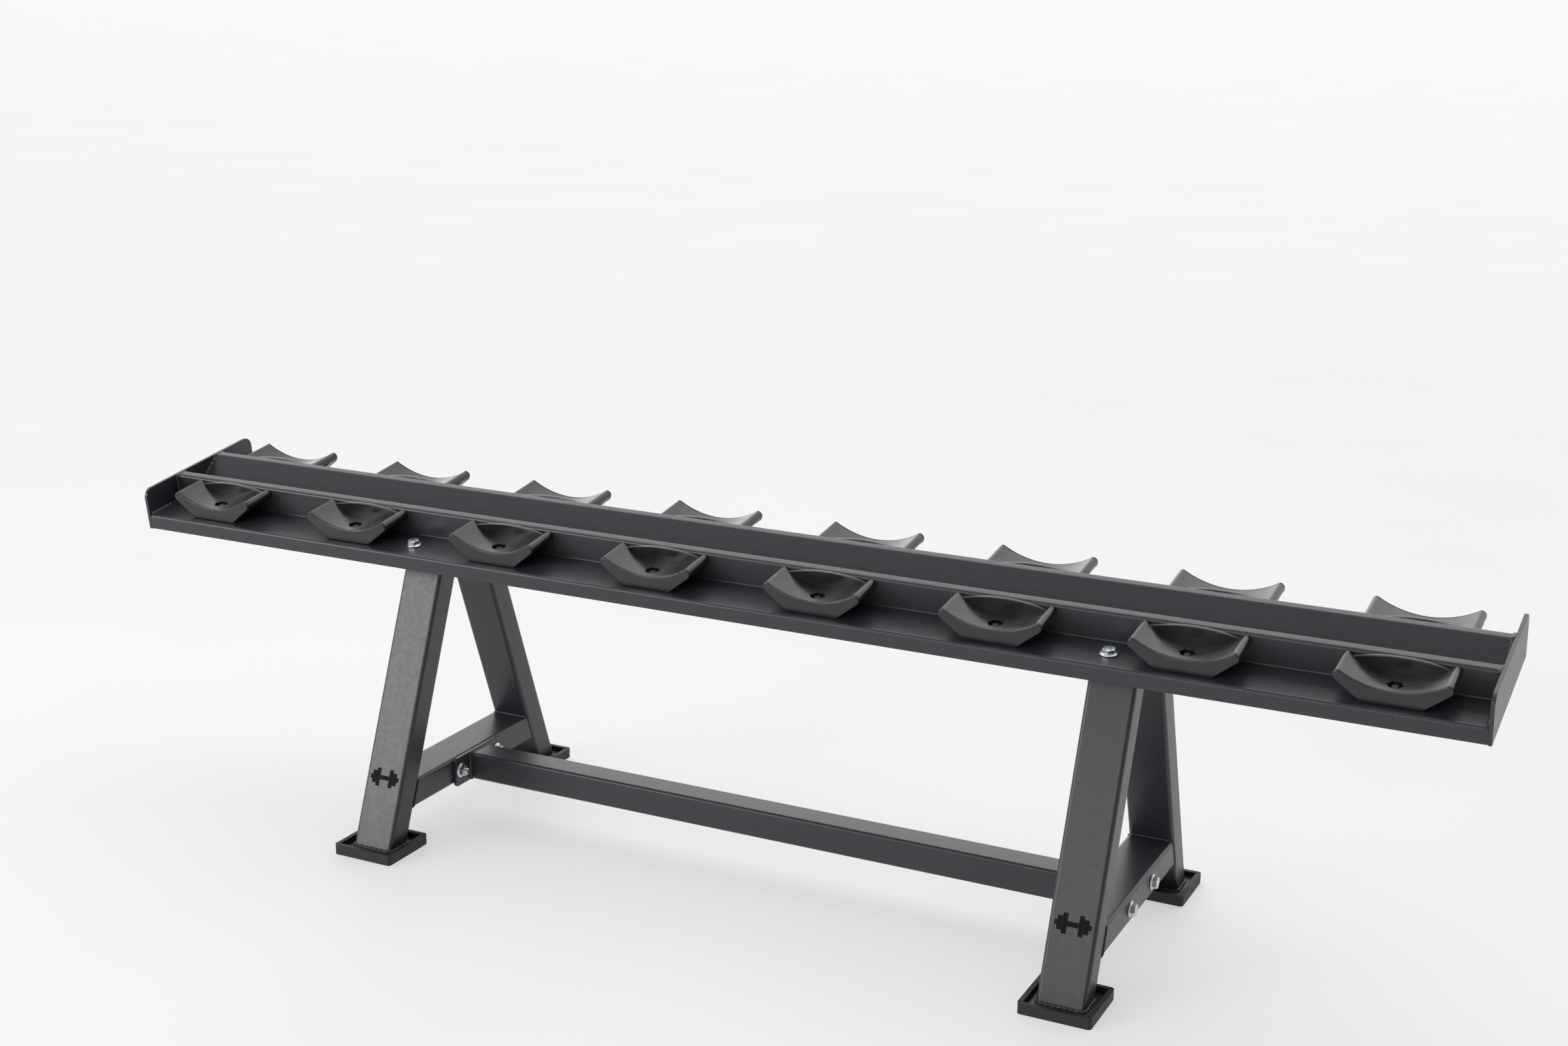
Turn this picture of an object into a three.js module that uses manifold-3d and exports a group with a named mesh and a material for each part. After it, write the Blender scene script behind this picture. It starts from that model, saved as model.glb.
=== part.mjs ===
// Saddle rack for heavy dumbbells: a bent steel tray, tipped towards the front, on two welded
// A-frames joined by a bolted stretcher. Each dumbbell lies across a front and a back saddle.
// Millimetres, +Z up, +X along the rack, -Y towards the front. The origin is on the floor, at the
// middle of the four feet.
import * as THREE from 'three';
import { mergeVertices } from 'three/addons/utils/BufferGeometryUtils.js';
import Module from 'manifold-3d';

// ---------- Driving dimensions ----------
const GAP = 0.3; // between pieces that touch
const MERGE_TOLERANCE = 1e-4;
const ROUND_SIDES = 16; // flat sides of a round piece
const SCREW_HOLE_SIDES = 8;

// Tray sheet: lip, shelf, wall and top flat on each side, with a shallow V between the two walls
const TRAY_DEPTH = 300.6;
const TRAY_TILT = THREE.MathUtils.degToRad(8.44);
const TRAY_CENTRE_Y = -7.5;
const TRAY_CENTRE_Z = 516.4; // height of the end plates' lower edge, half way back
const SHEET = 3;
const BEND_RADIUS = 2.5; // inside of each bend
const LIP_BOTTOM = 1.4; // above the end plates' lower edge
const SHELF_HEIGHT = 28.4;
const SHELF_DEPTH = 85.2;
const WALL_TOP = 77;
const TOP_FLAT = 18.4;
const VALLEY_HEIGHT = 41;

// End plates
const END_PLATE_THICKNESS = 6;
const END_PLATE_LEDGE = 0.2; // above the tray's top flats
const END_PLATE_CORNER = 17.5;

// A-frames of rectangular tube
const FRAME_BAY = 2; // an A-frame stands under the gap this many saddle pitches from the middle
const FRAME_SHIFT = 30.2; // and this far outwards of the middle of that gap
const LEG_WIDTH = 78.4; // along the rack
const LEG_DEPTH = 48.8; // across the leaning face
const LEG_WALL = 3;
const LEG_CORNER = 7;
const LEG_TOP_SPREAD = 88; // between the front and back legs' axes under the tray
const CROSS_TUBE_HEIGHT = 49;
const CROSS_TUBE_Z = 93.4;
const MOUNT_PLATE_MARGIN = 8.8; // past each side of the legs
const MOUNT_PLATE_THICKNESS = 6;
const MOUNT_PLATE_INSET = 12; // from the tray's outer edge

// Feet
const FOOT_SPREAD = 484; // between the front and back feet's centres
const LEG_OFFSET = 2.6; // a leg's axis meets its foot plate this far outwards of the foot's centre
const FOOT_LENGTH = 118.2; // along the rack
const FOOT_WIDTH = 114.4;
const FOOT_HEIGHT = 19;
const FOOT_CORNER = 7;
const FOOT_FLOOR = 5;
const FOOT_RIM = 8;
const FOOT_RIM_BEVEL = 3;
const FOOT_PLATE_THICKNESS = 5;

// Stretcher between the A-frames
const STRETCHER_WIDTH = 55;
const STRETCHER_HEIGHT = 51.2;
const STRETCHER_WALL = 2.5;
const STRETCHER_CORNER = 6;
const STRETCHER_Z = 91.5;
const FLANGE_THICKNESS = 6;
const FLANGE_LEDGE = 1.4; // above and below the stretcher
const FLANGE_END = 15; // from a bolt to the flange's end
const FLANGE_CORNER = 6;

// Saddles
const SADDLES_PER_SIDE = 8;
const SADDLE_PITCH = 303.7;
const SADDLE_END_MARGIN = 137; // from the last saddle's centre to the tray's end
const SADDLE_INSET = 15.3; // from the tray's outer edge
const SADDLE_BASE_WIDTH = 89.4;
const SADDLE_NOSE_RADIUS = 8.4;
const SADDLE_NOSE_X = 76.5; // centre of each rounded end
const SADDLE_RIDGE_HEIGHT = 45.4; // above the shelf
const SADDLE_HOLLOW_HEIGHT = 22.8; // lowest point of the cradle, above the shelf
const SADDLE_STOP_THICKNESS = 7; // raised end wall against the tray's wall
const SADDLE_STOP_END_X = 69; // where its top edge runs out into the cradle
const SADDLE_STOP_HEIGHT = 48.6; // its top edge at the middle, above the shelf
const POCKET_FLATS = 22; // hexagonal pocket for the fixing screw
const POCKET_INSET = 27.7; // from the saddle's outer face to the pocket's centre
const POCKET_FLOOR = 11; // above the shelf
const SADDLE_SCREW_HOLE = 9;

// Fasteners: head or nut with a flange, in clearance holes
const BOLT_DIAMETER = 12;
const HOLE_CLEARANCE = 1;
const TRAY_BOLT = { flange: 29, flangeThickness: 2.6, flats: 19, height: 9 };
const STRETCHER_BOLT = { flange: 27, flangeThickness: 2.4, flats: 18, height: 10 };
const BOLT_TAIL = 7; // thread showing past the nut
const TRAY_BOLT_INSET = 44.8; // from the tray's outer edge
const STRETCHER_BOLT_OFFSET = 30.5; // from the stretcher's side to a bolt's axis

// ---------- Sizes that follow ----------
const trayLength = (SADDLES_PER_SIDE - 1) * SADDLE_PITCH + 2 * SADDLE_END_MARGIN;
const halfTray = TRAY_DEPTH / 2;
const wallFace = halfTray - SHELF_DEPTH; // from the tray's centre line to a wall's outer face
const shelfUnderside = SHELF_HEIGHT - SHEET;
const mountPlateTop = shelfUnderside - GAP;
const legTop = mountPlateTop - MOUNT_PLATE_THICKNESS - GAP;
const footPlateTop = FOOT_FLOOR + GAP + FOOT_PLATE_THICKNESS;
const legBottom = footPlateTop + GAP;
const legFootY = FOOT_SPREAD / 2 + LEG_OFFSET; // where a leg's axis meets the foot plate
const legLean = Math.atan((legFootY - LEG_TOP_SPREAD / 2) / (TRAY_CENTRE_Z + legTop - footPlateTop));
// Where a leg's axis meets the floor
const legAxisY = legFootY + footPlateTop * Math.tan(legLean);
const frameX = FRAME_BAY * SADDLE_PITCH + FRAME_SHIFT; // centre of each A-frame
const flangeFaceX = frameX - LEG_WIDTH / 2 - GAP; // the face that bears on the cross tube
const stretcherEndX = flangeFaceX - FLANGE_THICKNESS - GAP;
const stretcherBoltY = STRETCHER_WIDTH / 2 + STRETCHER_BOLT_OFFSET;
const cradleDip = SADDLE_RIDGE_HEIGHT - SADDLE_HOLLOW_HEIGHT;
const saddleRow = Array.from(
  { length: SADDLES_PER_SIDE },
  (_, i) => (i - (SADDLES_PER_SIDE - 1) / 2) * SADDLE_PITCH,
);
const sides = [['left', -1], ['right', 1]];
const faces = [['front', -1], ['back', 1]];

// ---------- Materials ----------
const powderCoat = () => new THREE.MeshStandardMaterial({ color: 0x3f4143, roughness: 0.55, metalness: 0.2 });
const moulding = () => new THREE.MeshStandardMaterial({ color: 0x2b2c2e, roughness: 0.45, metalness: 0 });
const rubber = () => new THREE.MeshStandardMaterial({ color: 0x161718, roughness: 0.8, metalness: 0 });
const zinc = () => new THREE.MeshStandardMaterial({ color: 0xc6c9cc, roughness: 0.3, metalness: 1 });

// ---------- Joining and cutting ----------
const wasm = await Module();
wasm.setup();

function toSolid(geometry) {
  const bare = geometry.clone();
  bare.deleteAttribute('normal');
  bare.deleteAttribute('uv');
  const merged = mergeVertices(bare, MERGE_TOLERANCE);
  return new wasm.Manifold(new wasm.Mesh({
    numProp: 3,
    vertProperties: new Float32Array(merged.attributes.position.array),
    triVerts: new Uint32Array(merged.index.array),
  }));
}

function toGeometry(solid) {
  const { vertProperties, triVerts } = solid.getMesh();
  const geometry = new THREE.BufferGeometry();
  geometry.setAttribute('position', new THREE.BufferAttribute(vertProperties, 3));
  geometry.setIndex(new THREE.BufferAttribute(triVerts, 1));
  geometry.computeVertexNormals();
  return geometry;
}

function cut(geometry, cutters) {
  return toGeometry(cutters.reduce((solid, cutter) => solid.subtract(toSolid(cutter)), toSolid(geometry)));
}

function join(geometry, ...others) {
  return toGeometry(others.reduce((solid, other) => solid.add(toSolid(other)), toSolid(geometry)));
}

// ---------- Shapes ----------
// An outline with each corner rounded: points are [x, y, radius]
function roundedOutline(corners, Outline = THREE.Shape) {
  const outline = new Outline();
  corners.forEach(([x, y, radius], i) => {
    const here = new THREE.Vector2(x, y);
    const [before, after] = [corners.at(i - 1), corners[(i + 1) % corners.length]]
      .map(([px, py]) => new THREE.Vector2(px, py).sub(here).normalize());
    const halfAngle = Math.acos(THREE.MathUtils.clamp(before.dot(after), -1, 1)) / 2;
    const setback = radius / Math.tan(halfAngle);
    const start = before.clone().multiplyScalar(setback).add(here);
    if (i === 0) outline.moveTo(start.x, start.y);
    else outline.lineTo(start.x, start.y);
    if (radius > 0) {
      const inwards = before.clone().add(after).normalize();
      const middle = inwards.multiplyScalar(radius / Math.sin(halfAngle)).add(here);
      const end = after.clone().multiplyScalar(setback).add(here);
      const clockwise = before.cross(after) > 0;
      outline.absarc(middle.x, middle.y, radius, start.clone().sub(middle).angle(),
        end.clone().sub(middle).angle(), clockwise);
    }
  });
  outline.closePath();
  return outline;
}

function rectangle(width, height, radius, Outline) {
  const [x, y] = [width / 2, height / 2];
  return roundedOutline([[-x, -y, radius], [x, -y, radius], [x, y, radius], [-x, y, radius]], Outline);
}

function tubeSection(width, height, wall, corner) {
  const section = rectangle(width, height, corner);
  section.holes.push(rectangle(width - 2 * wall, height - 2 * wall, Math.max(corner - wall, 0), THREE.Path));
  return section;
}

// An extrusion along its own Z, from -length/2 to length/2
function extrude(shape, length, curveSegments = 1) {
  return new THREE.ExtrudeGeometry(shape, { depth: length, bevelEnabled: false, curveSegments })
    .translate(0, 0, -length / 2);
}

// Shape x, y and extrusion turned to run along X (shape x to Y, shape y to Z) or along Y (shape y to Z)
const toX = new THREE.Matrix4().makeBasis(
  new THREE.Vector3(0, 1, 0), new THREE.Vector3(0, 0, 1), new THREE.Vector3(1, 0, 0));
const toY = new THREE.Matrix4().makeBasis(
  new THREE.Vector3(1, 0, 0), new THREE.Vector3(0, 0, 1), new THREE.Vector3(0, -1, 0));
const extrudeX = (shape, length, curveSegments) => extrude(shape, length, curveSegments).applyMatrix4(toX);
const extrudeY = (shape, length, curveSegments) => extrude(shape, length, curveSegments).applyMatrix4(toY);

function rod(diameter, length, sides = ROUND_SIDES) {
  return new THREE.CylinderGeometry(diameter / 2, diameter / 2, length, sides).rotateX(Math.PI / 2);
}

function hexagon(acrossFlats, height) {
  const radius = acrossFlats / Math.sqrt(3);
  return new THREE.CylinderGeometry(radius, radius, height, 6).rotateX(Math.PI / 2);
}

// ---------- Fasteners, standing on z = 0 with the thread pointing down ----------
// A flange with a coned upper face, as a solid of revolution
function flangeDisc({ flange, flangeThickness, flats, height }, bore) {
  const profile = [[bore / 2, 0], [flange / 2, 0], [flange / 2, flangeThickness / 2],
    [flats / 2, flangeThickness + height / 6], [bore / 2, flangeThickness + height / 6]];
  const points = profile.map(([r, z]) => new THREE.Vector2(r, z));
  if (bore > 0) points.push(points[0].clone());
  return new THREE.LatheGeometry(points, ROUND_SIDES).rotateX(Math.PI / 2);
}

function flangeBolt(size, length) {
  const head = hexagon(size.flats, size.height - size.flangeThickness / 2)
    .translate(0, 0, (size.height + size.flangeThickness / 2) / 2);
  const shank = rod(BOLT_DIAMETER, length + size.flangeThickness)
    .translate(0, 0, (size.flangeThickness - length) / 2);
  return join(flangeDisc(size, 0), head, shank);
}

function flangeNut(size) {
  const bore = BOLT_DIAMETER + 2 * GAP;
  const body = hexagon(size.flats, size.height - size.flangeThickness / 2)
    .translate(0, 0, (size.height + size.flangeThickness / 2) / 2);
  return cut(join(flangeDisc(size, bore), body), [rod(bore, 3 * size.height)]);
}

const holeDiameter = BOLT_DIAMETER + HOLE_CLEARANCE;

// ---------- Tray ----------
// The sheet's upper and lower surfaces are the same path, one sheet thickness apart
function traySheet() {
  const half = [
    [halfTray, LIP_BOTTOM],
    [halfTray, SHELF_HEIGHT],
    [wallFace, SHELF_HEIGHT],
    [wallFace, WALL_TOP],
    [wallFace - TOP_FLAT, WALL_TOP],
    [0, VALLEY_HEIGHT],
  ];
  const upper = [...half.map(([y, z]) => [-y, z]), ...half.slice(0, -1).reverse()];
  const direction = (a, b) => new THREE.Vector2(b[0] - a[0], b[1] - a[1]).normalize();
  const offset = upper.map((point, i) => {
    const into = i > 0 ? direction(upper[i - 1], point) : direction(point, upper[i + 1]);
    const out = i < upper.length - 1 ? direction(point, upper[i + 1]) : into;
    const turn = into.cross(out); // positive where the path turns left, which makes the upper side the inside
    const mitre = into.clone().add(out).normalize();
    const distance = SHEET / mitre.dot(into);
    const isEnd = i === 0 || i === upper.length - 1;
    return {
      upper: [...point, isEnd ? 0 : BEND_RADIUS + (turn < 0 ? SHEET : 0)],
      lower: [point[0] + mitre.y * distance, point[1] - mitre.x * distance,
        isEnd ? 0 : BEND_RADIUS + (turn > 0 ? SHEET : 0)],
    };
  });
  const outline = [...offset.map((p) => p.lower), ...offset.map((p) => p.upper).reverse()];
  const holes = faces.flatMap(([, face]) => [
    ...saddleRow.map((x) => rod(SADDLE_SCREW_HOLE, 4 * SHEET, SCREW_HOLE_SIDES)
      .translate(x, face * (halfTray - SADDLE_INSET - POCKET_INSET), SHELF_HEIGHT)),
    ...sides.map(([, side]) => rod(holeDiameter, 4 * SHEET)
      .translate(side * frameX, face * (halfTray - TRAY_BOLT_INSET), SHELF_HEIGHT)),
  ]);
  return cut(extrudeX(roundedOutline(outline), trayLength), holes);
}

function endPlate() {
  const top = WALL_TOP + END_PLATE_LEDGE;
  const outline = roundedOutline([
    [-halfTray, 0, 0], [halfTray, 0, 0],
    [halfTray, top, END_PLATE_CORNER], [-halfTray, top, END_PLATE_CORNER],
  ]);
  return extrudeX(outline, END_PLATE_THICKNESS, 3);
}

function mountPlate() {
  const depth = TRAY_DEPTH - 2 * MOUNT_PLATE_INSET;
  const plate = new THREE.BoxGeometry(LEG_WIDTH + 2 * MOUNT_PLATE_MARGIN, depth, MOUNT_PLATE_THICKNESS);
  return cut(plate, faces.map(([, face]) => rod(holeDiameter, 3 * MOUNT_PLATE_THICKNESS)
    .translate(0, face * (halfTray - TRAY_BOLT_INSET), 0)));
}

// ---------- Saddle ----------
// A circular arc from (halfWidth, height) to (-halfWidth, height), with its middle that far above or
// below them
function arcAcross(outline, halfWidth, height, rise) {
  const radius = (halfWidth ** 2 + rise ** 2) / (2 * Math.abs(rise));
  const turn = Math.sign(rise);
  const spread = Math.asin(halfWidth / radius);
  const middle = turn * Math.PI / 2;
  outline.absarc(0, height + rise - turn * radius, radius, middle - turn * spread,
    middle + turn * spread, rise < 0);
}

// Across the rack: flat base, flared flanks, round noses and the hollow of the cradle between them.
// Heights are above the shelf.
function cradleOutline() {
  const baseX = SADDLE_BASE_WIDTH / 2;
  const noseZ = SADDLE_RIDGE_HEIGHT - SADDLE_NOSE_RADIUS;
  const toNose = new THREE.Vector2(SADDLE_NOSE_X - baseX, noseZ);
  const flank = toNose.angle() - Math.asin(SADDLE_NOSE_RADIUS / toNose.length());
  const tangent = flank - Math.PI / 2; // where the flank meets the nose
  const outline = new THREE.Shape();
  outline.moveTo(-baseX, 0);
  outline.lineTo(baseX, 0);
  outline.absarc(SADDLE_NOSE_X, noseZ, SADDLE_NOSE_RADIUS, tangent, Math.PI / 2, false);
  arcAcross(outline, SADDLE_NOSE_X, SADDLE_RIDGE_HEIGHT, -cradleDip);
  outline.absarc(-SADDLE_NOSE_X, noseZ, SADDLE_NOSE_RADIUS, Math.PI / 2, Math.PI - tangent, false);
  outline.closePath();
  return outline;
}

// The end wall: its crowned top edge runs out into the cradle on both sides
function stopOutline() {
  const cradleRadius = (SADDLE_NOSE_X ** 2 + cradleDip ** 2) / (2 * cradleDip);
  const endHeight = SADDLE_HOLLOW_HEIGHT + cradleRadius
    - Math.sqrt(cradleRadius ** 2 - SADDLE_STOP_END_X ** 2);
  const outline = new THREE.Shape();
  outline.moveTo(-SADDLE_BASE_WIDTH / 2, 0);
  outline.lineTo(SADDLE_BASE_WIDTH / 2, 0);
  outline.lineTo(SADDLE_STOP_END_X, endHeight);
  arcAcross(outline, SADDLE_STOP_END_X, endHeight, SADDLE_STOP_HEIGHT - endHeight);
  outline.closePath();
  return outline;
}

// The outer face is at y = 0 and the saddle runs back to y = depth
function saddle() {
  const depth = SHELF_DEPTH - SADDLE_INSET - GAP;
  const pocketDepth = SADDLE_RIDGE_HEIGHT - POCKET_FLOOR;
  const chamfer = BEND_RADIUS * Math.SQRT2; // clears the bend between shelf and wall
  return cut(
    join(
      extrudeY(cradleOutline(), depth, 4).translate(0, depth / 2, 0),
      extrudeY(stopOutline(), SADDLE_STOP_THICKNESS, 4).translate(0, depth - SADDLE_STOP_THICKNESS / 2, 0),
    ),
    [
      hexagon(POCKET_FLATS, pocketDepth).rotateZ(Math.PI / 6)
        .translate(0, POCKET_INSET, POCKET_FLOOR + pocketDepth / 2),
      rod(SADDLE_SCREW_HOLE, 4 * POCKET_FLOOR, SCREW_HOLE_SIDES).translate(0, POCKET_INSET, 0),
      new THREE.BoxGeometry(2 * SADDLE_BASE_WIDTH, chamfer, chamfer)
        .rotateX(Math.PI / 4)
        .translate(0, depth, 0),
    ],
  );
}

// ---------- A-frame ----------
const trayFrame = new THREE.Matrix4().makeRotationX(TRAY_TILT).setPosition(0, TRAY_CENTRE_Y, TRAY_CENTRE_Z);

// A leaning tube cut level at the foot and parallel to the tray at the top, under the mount plate
function leg(face) {
  const length = 3 * TRAY_CENTRE_Z; // half of it is below the floor, and the rest reaches past the tray
  const tube = extrude(tubeSection(LEG_WIDTH, LEG_DEPTH, LEG_WALL, LEG_CORNER), length)
    .rotateX(face * legLean)
    .translate(0, face * legAxisY, 0);
  const block = new THREE.BoxGeometry(2 * LEG_WIDTH, 8 * TRAY_DEPTH, length);
  const below = block.clone().translate(0, 0, legBottom - length / 2);
  const above = block.clone().translate(0, 0, legTop + length / 2).applyMatrix4(trayFrame);
  return cut(tube, [below, above]);
}

// Everything outwards of a leg's inner face, with the gap that its neighbour keeps
function beyondLeg(face) {
  return new THREE.BoxGeometry(2 * LEG_WIDTH, FOOT_SPREAD, 2 * TRAY_CENTRE_Z)
    .translate(0, face * (FOOT_SPREAD / 2 - LEG_DEPTH / 2 - GAP), 0)
    .rotateX(face * legLean)
    .translate(0, face * legAxisY, 0);
}

// A tube between the two legs, with its ends cut to their lean and cross holes for the stretcher's bolts
function crossTube() {
  const section = tubeSection(LEG_WIDTH, CROSS_TUBE_HEIGHT, LEG_WALL, LEG_CORNER);
  const ends = faces.map(([, face]) => beyondLeg(face));
  const holes = faces.map(([, face]) => rod(holeDiameter, 2 * LEG_WIDTH)
    .rotateY(Math.PI / 2)
    .translate(0, face * stretcherBoltY, 0));
  return cut(extrudeY(section, FOOT_SPREAD).translate(0, 0, CROSS_TUBE_Z),
    [...ends, ...holes.map((hole) => hole.translate(0, 0, CROSS_TUBE_Z))]);
}

function footPlate() {
  return extrude(rectangle(FOOT_LENGTH - 2 * FOOT_RIM - 2 * GAP, FOOT_WIDTH - 2 * FOOT_RIM - 2 * GAP,
    FOOT_CORNER), FOOT_PLATE_THICKNESS);
}

// A rubber cup with a bevelled rim around the steel foot plate
function rubberFoot() {
  const straight = FOOT_HEIGHT - FOOT_RIM_BEVEL;
  const shape = rectangle(FOOT_LENGTH - 2 * FOOT_RIM_BEVEL, FOOT_WIDTH - 2 * FOOT_RIM_BEVEL, FOOT_CORNER);
  const body = new THREE.ExtrudeGeometry(shape, {
    depth: straight, curveSegments: 1, bevelSegments: 1,
    bevelThickness: FOOT_RIM_BEVEL, bevelSize: FOOT_RIM_BEVEL,
  });
  const hollow = rectangle(FOOT_LENGTH - 2 * FOOT_RIM, FOOT_WIDTH - 2 * FOOT_RIM, FOOT_CORNER);
  const recess = extrude(hollow, FOOT_HEIGHT)
    .translate(0, 0, FOOT_FLOOR + FOOT_HEIGHT / 2);
  const underside = new THREE.BoxGeometry(2 * FOOT_LENGTH, 2 * FOOT_WIDTH, FOOT_HEIGHT)
    .translate(0, 0, -FOOT_HEIGHT / 2);
  return cut(body, [recess, underside]);
}

// ---------- Stretcher ----------
function stretcherTube() {
  const section = tubeSection(STRETCHER_WIDTH, STRETCHER_HEIGHT, STRETCHER_WALL, STRETCHER_CORNER);
  return extrudeX(section, 2 * stretcherEndX);
}

function stretcherFlange() {
  const width = 2 * (stretcherBoltY + FLANGE_END);
  const height = STRETCHER_HEIGHT + 2 * FLANGE_LEDGE;
  const plate = extrudeX(rectangle(width, height, FLANGE_CORNER), FLANGE_THICKNESS);
  return cut(plate, faces.map(([, face]) => rod(holeDiameter, 3 * FLANGE_THICKNESS)
    .rotateY(Math.PI / 2)
    .translate(0, face * stretcherBoltY, CROSS_TUBE_Z - STRETCHER_Z)));
}

// ---------- Assembly ----------
const rack = new THREE.Group();
const tray = new THREE.Group();
tray.applyMatrix4(trayFrame);
rack.add(tray);

function place(parent, name, geometry, material, position = [0, 0, 0], rotation = [0, 0, 0]) {
  const mesh = new THREE.Mesh(geometry, material);
  mesh.name = name;
  mesh.position.set(...position);
  mesh.rotation.set(...rotation);
  parent.add(mesh);
}

place(tray, 'tray_sheet', traySheet(), powderCoat());
for (const [side, sx] of sides) {
  const endX = sx * (trayLength / 2 + GAP + END_PLATE_THICKNESS / 2);
  place(tray, `end_plate_${side}`, endPlate(), powderCoat(), [endX, 0, 0]);
  place(tray, `tray_mount_plate_${side}`, mountPlate(), powderCoat(),
    [sx * frameX, 0, mountPlateTop - MOUNT_PLATE_THICKNESS / 2]);
}

for (const [face, sy] of faces) {
  const turn = sy > 0 ? Math.PI : 0;
  saddleRow.forEach((x, i) => {
    place(tray, `saddle_${face}_${i + 1}`, saddle(), moulding(),
      [x, sy * (halfTray - SADDLE_INSET), SHELF_HEIGHT + GAP], [0, 0, turn]);
  });
}

const trayBoltLength = SHEET + MOUNT_PLATE_THICKNESS + TRAY_BOLT.height + BOLT_TAIL + 3 * GAP;
const stretcherBoltLength = LEG_WIDTH + FLANGE_THICKNESS + STRETCHER_BOLT.height + BOLT_TAIL + 3 * GAP;
for (const [side, sx] of sides) {
  place(rack, `cross_tube_${side}`, crossTube(), powderCoat(), [sx * frameX, 0, 0]);
  place(rack, `stretcher_flange_${side}`, stretcherFlange(), powderCoat(),
    [sx * (flangeFaceX - FLANGE_THICKNESS / 2), 0, STRETCHER_Z]);
  for (const [face, sy] of faces) {
    const boltY = sy * stretcherBoltY;
    const corner = `${face}_${side}`;
    const footY = sy * FOOT_SPREAD / 2;
    place(rack, `leg_${corner}`, leg(sy), powderCoat(), [sx * frameX, 0, 0]);
    place(rack, `foot_plate_${corner}`, footPlate(), powderCoat(),
      [sx * frameX, footY, footPlateTop - FOOT_PLATE_THICKNESS / 2]);
    place(rack, `rubber_foot_${corner}`, rubberFoot(), rubber(), [sx * frameX, footY, 0]);
    const trayBoltY = sy * (halfTray - TRAY_BOLT_INSET);
    place(tray, `tray_bolt_${corner}`, flangeBolt(TRAY_BOLT, trayBoltLength), zinc(),
      [sx * frameX, trayBoltY, SHELF_HEIGHT + GAP]);
    place(tray, `tray_nut_${corner}`, flangeNut(TRAY_BOLT), zinc(),
      [sx * frameX, trayBoltY, mountPlateTop - MOUNT_PLATE_THICKNESS - GAP], [Math.PI, 0, 0]);
    place(rack, `stretcher_bolt_${corner}`, flangeBolt(STRETCHER_BOLT, stretcherBoltLength), zinc(),
      [sx * (frameX + LEG_WIDTH / 2 + GAP), boltY, CROSS_TUBE_Z], [0, sx * Math.PI / 2, 0]);
    place(rack, `stretcher_nut_${corner}`, flangeNut(STRETCHER_BOLT), zinc(),
      [sx * (flangeFaceX - FLANGE_THICKNESS - GAP), boltY, CROSS_TUBE_Z], [0, -sx * Math.PI / 2, 0]);
  }
}
place(rack, 'stretcher_tube', stretcherTube(), powderCoat(), [0, 0, STRETCHER_Z]);

export default rack;
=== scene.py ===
"""The looks of a saddle rack for heavy dumbbells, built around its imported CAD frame.

A bent steel tray tips towards the front on two welded A-frames, which a bolted stretcher joins.
Shapes are made in millimetres, in the CAD frame's axes, and become metres in piece().
"""
import math
import random

import bmesh
import bpy
from mathutils import Matrix, Vector


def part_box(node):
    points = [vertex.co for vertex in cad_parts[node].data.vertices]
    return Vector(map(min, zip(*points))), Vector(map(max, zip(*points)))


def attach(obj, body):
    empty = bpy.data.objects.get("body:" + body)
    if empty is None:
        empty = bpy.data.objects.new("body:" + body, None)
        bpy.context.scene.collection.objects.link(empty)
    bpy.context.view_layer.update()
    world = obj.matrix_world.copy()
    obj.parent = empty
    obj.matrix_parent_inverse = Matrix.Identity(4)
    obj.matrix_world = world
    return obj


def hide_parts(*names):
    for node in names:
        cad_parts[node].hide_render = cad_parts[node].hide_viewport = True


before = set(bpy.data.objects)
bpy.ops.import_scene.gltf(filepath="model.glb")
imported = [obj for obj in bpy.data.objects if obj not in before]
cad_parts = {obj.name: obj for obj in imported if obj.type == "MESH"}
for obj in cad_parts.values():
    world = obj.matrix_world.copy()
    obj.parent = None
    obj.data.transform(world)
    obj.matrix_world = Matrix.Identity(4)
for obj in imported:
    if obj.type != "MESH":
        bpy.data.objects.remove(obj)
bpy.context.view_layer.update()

MM = 0.001
GAP = 0.3  # left between pieces that touch
NEAR = 0.01  # places closer than this are the same place
SEED = 7
SHADING_ANGLE = math.radians(38)  # an edge that turns more than this is shaded sharp
EDGE_ANGLE = math.radians(50)  # an edge that turns more than this is rounded
NOISE_LOW, NOISE_HIGH = 0.3, 0.7  # nearly all of a noise lies between these
CORNER_STEPS = 5
SIDES = (("left", -1), ("right", 1))
FACES = (("front", -1), ("back", 1))

# ---------- Sizes, in millimetres ----------
TRAY_DEPTH = 300.6
TRAY_TILT = math.radians(8.44)
SHEET = 3
INSIDE_BEND = 2.5
OUTSIDE_BEND = INSIDE_BEND + SHEET
BEND_STEPS = 5
LIP_BOTTOM = 1.4
SHELF_HEIGHT = 28.4
SHELF_DEPTH = 85.2
WALL_TOP = 77
TOP_FLAT = 18.4
VALLEY_HEIGHT = 41
END_PLATE_HEIGHT = 77
END_PLATE_CORNER = 17.5
END_PLATE_CORNER_STEPS = 10
PLATE_EDGE = 0.8  # small round on the edges of cut plates

LEG_WIDTH = 78.4
LEG_DEPTH = 48.8
LEG_WALL = 3
LEG_CORNER = 6.5
LEG_TOP_SPREAD = 88
LEG_FOOT_Y = 244.6
CROSS_TUBE_HEIGHT = 49
MOUNT_PLATE_MARGIN = 8.8
MOUNT_PLATE_INSET = 12
MOUNT_PLATE_THICKNESS = 6
MOUNT_PLATE_CORNER = 3

FOOT_CORNER = 6
FOOT_CORNER_STEPS = 8
FOOT_RIM = 8
FOOT_RIM_BEVEL = 3
FOOT_BASE_EDGE = 1
FOOT_FLOOR = 5
FOOT_PLATE_THICKNESS = 5
FOOT_PLATE_CORNER = 7

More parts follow.
